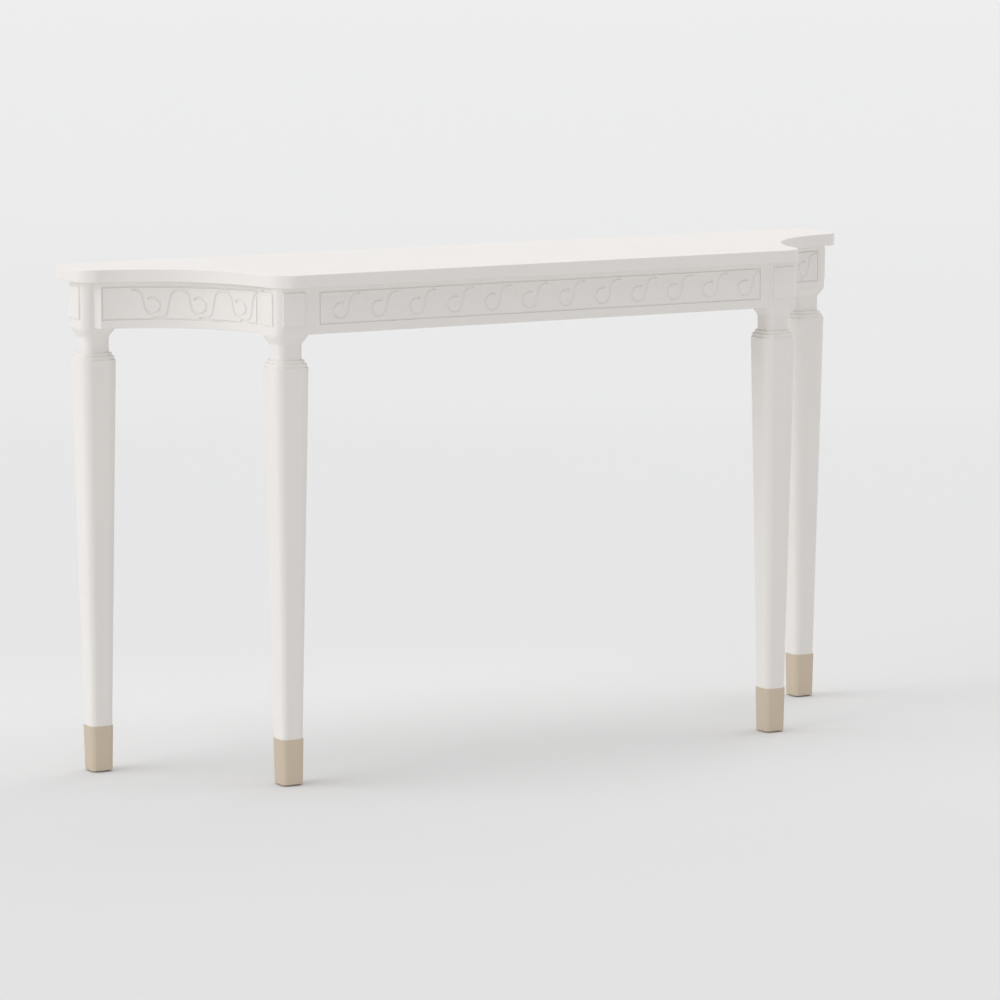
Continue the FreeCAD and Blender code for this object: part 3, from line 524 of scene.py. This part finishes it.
# one wave: up from under the next coil, over the crest and down a leaning stem into its own coil
def gougeWave(hooks, curls, x, pitch, s):
    turn, lean = 90 - s["lean"], math.radians(s["lean"])
    footX = x + s["coilRadius"] * math.cos(lean)
    footZ = s["coilHeight"] - s["coilRadius"] * math.sin(lean)
    crestX = footX + s["stem"] * math.sin(lean) + s["crestRadius"] * math.cos(lean) + s["crestRun"]
    crestZ = footZ + s["stem"] * math.cos(lean) + s["crestRadius"] * (1 - math.sin(lean))
    curl = [(None, s["crestRun"]), (s["crestRadius"], turn), (None, s["stem"]),
            (s["coilRadius"], -s["coilTurn"])]
    bends = s["hookRadius"] + s["crestRadius"]
    rise = (crestZ - s["hookHeight"] - bends * (1 - math.sin(lean))) / math.cos(lean)
    run = x + pitch - crestX - bends * math.cos(lean) - rise * math.sin(lean)
    hook = [(None, run), (s["hookRadius"], -turn), (None, rise), (s["crestRadius"], turn)]
    if hooks is curls:  # one cut from end to end
        gougeStroke(curls, (x + pitch, s["hookHeight"]), 180, hook + curl, s["deep"], s, s["step"])
    else:
        gougeStroke(curls, (crestX, crestZ), 180, curl, s["deep"], s, s["step"])
        if hooks is not None:
            gougeStroke(hooks, (x + pitch, s["hookHeight"]), 180, hook, s["faint"], s, s["step"])


# a row of waves, cut off where its field ends; faint hooks are a tool of their own,
# and the last wave of a deep row has no hook
def gougeRow(places, pitch, length, s, faintHooks):
    curls = bmesh.new()
    hooks = bmesh.new() if faintHooks else curls
    for x in places[:-1]:
        gougeWave(hooks, curls, x, pitch, s)
    gougeWave(hooks if faintHooks else None, curls, places[-1], pitch, s)
    tools = [curls, hooks] if faintHooks else [curls]
    for bm in tools:
        for x, facing in ((0, -1), (length, 1)):
            bmesh.ops.bisect_plane(bm, geom=everything(bm), plane_co=(x, 0, 0), plane_no=(facing, 0, 0),
                                   clear_outer=True)
        bmesh.ops.holes_fill(bm, edges=bm.edges, sides=0)
    return tools


# the sunk line round a field: two long strokes, then two short ones across their ends
def gougeLines(length, low, high, step, f, s):
    inset, veiner = f["line"] / 2, dict(s, gougeRadius=f["gougeRadius"])
    tools = [bmesh.new(), bmesh.new()]
    for z in (low + inset, high - inset):
        gougeStroke(tools[0], (0, z), 0, [(None, length)], f["deep"], veiner, step)
    for x in (inset, length - inset):
        gougeStroke(tools[1], (x, low), 90, [(None, high - low)], f["deep"], veiner, step)
    for tool in tools:
        bmesh.ops.holes_fill(tool, edges=tool.edges, sides=0)
    return tools


# Front apron: a straight board between the blocks
frontApron = dict(halfLength=446 * mm, faceY=-181 * mm, thick=22 * mm, low=763 * mm, high=842 * mm,
                  stile=14 * mm, waves=12, start=40 * mm, ease=0.9 * mm, easeSteps=3)


def buildFrontApron(a, f, s):
    board = box((-a["halfLength"], a["faceY"], a["low"]),
                (a["halfLength"], a["faceY"] + a["thick"], a["high"]))
    bevelEdges(board, atBottom(edgesAlong(board, 0), a["low"]), a["ease"], a["easeSteps"])
    length = 2 * (a["halfLength"] - a["stile"])
    pitch = length / a["waves"]
    places = [a["start"] + k * pitch for k in range(a["waves"])]
    tools = gougeLines(length, f["low"], f["high"], length, f, s) + gougeRow(places, pitch, length, s, True)
    for tool in tools:
        bmesh.ops.translate(tool, vec=(-length / 2, a["faceY"], 0), verts=tool.verts)
    bm = combine(board, tools, "DIFFERENCE")
    return finishPiece(bm, "frontApron", paintAcross, ["front_apron"])


buildFrontApron(frontApron, field, scroll)
print("front apron carved")


# End aprons: concave boards round the bays, lapped over the back blocks and canted there. The sweep,
# in degrees about the bay's centre, is wider than the board, which is then cut to length.
endApron = dict(bayX=756 * mm, bayY=-178 * mm, radius=252 * mm, thick=22 * mm, low=763 * mm, high=842 * mm,
                sweepFirst=168, sweepLast=96, sweepSteps=108, frontY=-115 * mm, endX=722.5 * mm, cant=30,
                lapY=83 * mm, lapDeep=100 * mm, lapSpare=10 * mm, blockInner=677.5 * mm,
                stile=3 * mm, lineStep=2 * mm, waves=3, pitch=80 * mm,
                starts=dict(left=40 * mm, right=87 * mm), coilTurns=dict(left=300, right=282),
                gougeRadius=2.5 * mm, deep=2.1 * mm,
                ease=0.9 * mm, easeSteps=2)


# the right-hand board, bare: its section swept round the bay, cut to length and lapped
def bendBoard(a):
    bm = bmesh.new()
    bmesh.ops.create_grid(bm, x_segments=1, y_segments=1, size=0.5)
    bmesh.ops.delete(bm, geom=bm.faces[:], context="FACES_ONLY")
    bmesh.ops.scale(bm, vec=(a["thick"], a["high"] - a["low"], 1), verts=bm.verts)
    bmesh.ops.rotate(bm, cent=(0, 0, 0), matrix=Matrix.Rotation(math.radians(90), 3, "X"), verts=bm.verts)
    bmesh.ops.translate(bm, vec=(a["radius"] + a["thick"] / 2, 0, (a["low"] + a["high"]) / 2), verts=bm.verts)
    bmesh.ops.rotate(bm, cent=(0, 0, 0), matrix=Matrix.Rotation(math.radians(a["sweepLast"]), 3, "Z"),
                     verts=bm.verts)
    bmesh.ops.translate(bm, vec=(a["bayX"], a["bayY"], 0), verts=bm.verts)
    bmesh.ops.spin(bm, geom=bm.verts[:] + bm.edges[:], cent=(a["bayX"], a["bayY"], 0), axis=(0, 0, 1),
                   angle=math.radians(a["sweepFirst"] - a["sweepLast"]), steps=a["sweepSteps"])
    cant = math.radians(a["cant"])
    for spot, facing in (((0, a["frontY"], 0), (0, -1, 0)),
                         ((a["endX"], a["lapY"], 0), (math.cos(cant), -math.sin(cant), 0))):
        bmesh.ops.bisect_plane(bm, geom=everything(bm), plane_co=spot, plane_no=facing, clear_outer=True)
    bmesh.ops.holes_fill(bm, edges=bm.edges, sides=0)
    lap = box((a["blockInner"], a["lapY"], a["low"] - a["lapSpare"]),
              (a["bayX"], a["lapY"] + a["lapDeep"], a["high"] + a["lapSpare"]))
    bm = combine(bm, [lap], "DIFFERENCE")
    faceOutwards(bm)
    bevelEdges(bm, atBottom(outerEdges(bm), a["low"]), a["ease"], a["easeSteps"])
    return bm


def buildEndApron(sideName, a, f, s):
    board = bendBoard(a)
    # the field, in angles about the bay's centre, and its length along the face
    stile = a["stile"] / a["radius"]
    fieldFirst = math.pi - math.asin((a["frontY"] - a["bayY"]) / a["radius"]) - stile
    cantX = a["bayX"] - a["endX"] + a["thick"] * math.sin(math.radians(a["cant"])) / 2
    fieldLast = math.pi / 2 + math.asin(cantX / a["radius"]) + stile
    length = (fieldFirst - fieldLast) * a["radius"]
    # the wave before the first has only its hook on the board
    places = [a["starts"][sideName] + k * a["pitch"] for k in range(-1, a["waves"])]
    tools = gougeLines(length, f["endLow"], f["high"], a["lineStep"], f, s)
    cut = dict(s, coilTurn=a["coilTurns"][sideName], gougeRadius=a["gougeRadius"], deep=a["deep"])
    tools += gougeRow(places, a["pitch"], length, cut, False)
    for tool in tools:
        for v in tool.verts:  # wrap the flat drawing round the bay
            turn, reach = fieldFirst - v.co.x / a["radius"], a["radius"] + v.co.y
            v.co.x, v.co.y = a["bayX"] + reach * math.cos(turn), a["bayY"] + reach * math.sin(turn)
    bm = combine(board, tools, "DIFFERENCE")
    if sideName == "left":
        bmesh.ops.scale(bm, vec=(-1, 1, 1), verts=bm.verts)
    return finishPiece(bm, sideName + "EndApron", paintAcross, [sideName + "_end_apron"])


for sideName in ("left", "right"):
    buildEndApron(sideName, endApron, field, scroll)
print("end aprons carved")


# Back apron: a plain board with eased edges
backApron = dict(halfLength=677.5 * mm, frontY=121 * mm, backY=143 * mm, low=763 * mm, high=842 * mm,
                 ease=0.9 * mm, easeSteps=3)


def buildBackApron(a):
    bm = box((-a["halfLength"], a["frontY"], a["low"]), (a["halfLength"], a["backY"], a["high"]))
    bevelEdges(bm, atBottom(edgesAlong(bm, 0), a["low"]), a["ease"], a["easeSteps"])
    return finishPiece(bm, "backApron", paintAcross, ["back_apron"])


buildBackApron(backApron)
print("back apron built")

# Inner pieces keep their solids and get their own finish
keptFinish = dict(apron_dowels=beechAcross, rail_dowels=beechDeep, top_screws=zinc,
                  left_cross_rail=beechDeep, right_cross_rail=beechDeep)
for sideName, side, place in corners:
    keptFinish["%s_%s_glue_block" % (sideName, place)] = beechUpright
for node, finish in keptFinish.items():
    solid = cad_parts[node]
    for slot in solid.material_slots:
        slot.material = finish
    if not solid.material_slots:
        solid.data.materials.append(finish)
print("inner pieces finished")


# Studio: pale paper that runs away from the camera, a plain pale background, and soft lamps, the strongest
# from the left and from above. The left ones make no glare on the top. The paper's tones are painted light
# and shade: darker near the camera, lighter far off, and lighter where the table stands, which thins the
# table's shadow.
# the tones are painted light and shade, not the paper's own colour: darker near the camera, lighter far off,
# and lighter in a band where the table stands to lift its shadow
paper = dict(floorHalf=400.0, turn=61.03, near=-4.0, far=40.0,  # the way the paper runs, its span in metres
             paintedLightAndShadeTones={-1.8: "#e0e0e0", -0.8: "#e1e1e1", -0.3: "#e6e6e6", 0.4: "#e6e6e6", 1.0: "#e3e3e3",
                    4.0: "#e4e4e4", 5.2: "#e7e7e7", 8.6: "#e7e7e7", 12.4: "#e9e9e9", 40.0: "#ebebeb"})
sky = dict(colour="#ffffff", strength=0.44, background="#e8e8e8")
lamps = dict(
    left=dict(comingFrom=(-1.0, 0.3, 0.65), strength=0.68, spread=60, colour="#fdfeff", glare=False),
    low=dict(comingFrom=(-1.0, 0.1, 0.25), strength=0.8, spread=60, colour="#fdfeff", glare=False),
    right=dict(comingFrom=(1.0, 0.1, 1.0), strength=0.52, spread=60, colour="#ffffff", glare=True),
    front=dict(comingFrom=(-0.3, -0.95, 0.1), strength=0.36, spread=12, colour="#ffffff", glare=True),
    high=dict(comingFrom=(0.0, 0.1, 1.0), strength=0.14, spread=20, colour="#ffffff", glare=True),
    above=dict(comingFrom=(0.05, 0.3, 1.0), strength=0.78, spread=90, colour="#ffffff", glare=True))


def layPaper(s):
    bm = bmesh.new()
    bmesh.ops.create_grid(bm, x_segments=1, y_segments=1, size=s["floorHalf"])
    mesh = bpy.data.meshes.new("studioFloor")
    bm.to_mesh(mesh)
    bm.free()
    floor = bpy.data.objects.new("studioFloor", mesh)
    scene.collection.objects.link(floor)
    material, tree, shader = newMaterial("paperWithPaintedLightAndShade")
    span = s["far"] - s["near"]
    place = addNode(tree, "ShaderNodeTexCoord").outputs["Object"]
    along = addNode(tree, "ShaderNodeMapping",
                    {"Scale": [1 / span] * 3, "Location": (-s["near"] / span, 0, 0),
                     "Rotation": (0, 0, -math.radians(s["turn"]))}, {"Vector": place})
    reach = addNode(tree, "ShaderNodeTexGradient", {}, {"Vector": along.outputs["Vector"]})
    # painted light and shade: the paper darkens towards the camera, lightens far off, and is lighter where
    # the table stands, which lightens its shadow
    paintedShadingRamp = addNode(tree, "ShaderNodeValToRGB", {}, {"Fac": reach.outputs["Fac"]})
    stops = paintedShadingRamp.color_ramp.elements
    while len(stops) < len(s["paintedLightAndShadeTones"]):
        stops.new(1.0)
    for stop, (metres, colour) in zip(stops, s["paintedLightAndShadeTones"].items()):
        stop.position, stop.color = (metres - s["near"]) / span, linear(colour)
    wire(tree, shader, {"Base Color": paintedShadingRamp.outputs["Color"]})
    shader.inputs["Roughness"].default_value = 0.9
    shader.inputs["Specular IOR Level"].default_value = 0.0
    mesh.materials.append(material)


# sky light for the object, plain pale background for the eye
def lightWorld(s):
    world = bpy.data.worlds.new("studioWorld")
    world.use_nodes = True
    scene.world = world
    tree = world.node_tree
    tree.nodes.clear()
    light = addNode(tree, "ShaderNodeBackground", {"Color": linear(s["colour"]), "Strength": s["strength"]})
    plain = addNode(tree, "ShaderNodeBackground", {"Color": linear(s["background"]), "Strength": 1.0})
    ray = addNode(tree, "ShaderNodeLightPath")
    seen = ray.outputs["Is Camera Ray"]
    for kind in ("Is Glossy Ray", "Is Transmission Ray"):
        seen = addNode(tree, "ShaderNodeMath", {}, {0: seen, 1: ray.outputs[kind]},
                       operation="MAXIMUM").outputs[0]
    mixed = addNode(tree, "ShaderNodeMixShader", {}, {0: seen, 1: light.outputs[0], 2: plain.outputs[0]})
    addNode(tree, "ShaderNodeOutputWorld", {}, {"Surface": mixed.outputs[0]})


def hangLamp(name, s):
    lamp = bpy.data.lights.new(name + "Softbox", "SUN")
    lamp.energy, lamp.angle = s["strength"], math.radians(s["spread"])
    lamp.color = linear(s["colour"])[:3]
    softbox = bpy.data.objects.new(name + "Softbox", lamp)
    softbox.rotation_euler = Vector(s["comingFrom"]).to_track_quat("Z", "Y").to_euler()
    softbox.visible_glossy = s["glare"]
    scene.collection.objects.link(softbox)


layPaper(paper)
lightWorld(sky)
for name, settings in lamps.items():
    hangLamp(name, settings)

# the photograph's view: metres, degrees, and millimetres for the lens and sensor
view = dict(place=(-3.7947, -6.8770, 1.5656), tilt=81.784, roll=0.052, pan=-28.963, lens=163.15, sensor=36,
            farthest=2000)
camera = bpy.data.cameras.new("photoCamera")
camera.lens, camera.sensor_width, camera.clip_end = view["lens"], view["sensor"], view["farthest"]
eye = bpy.data.objects.new("photoCamera", camera)
eye.location = view["place"]
eye.rotation_euler = [math.radians(view[turn]) for turn in ("tilt", "roll", "pan")]
scene.collection.objects.link(eye)
scene.camera = eye
scene.view_settings.view_transform = "Standard"
print("studio and camera set")
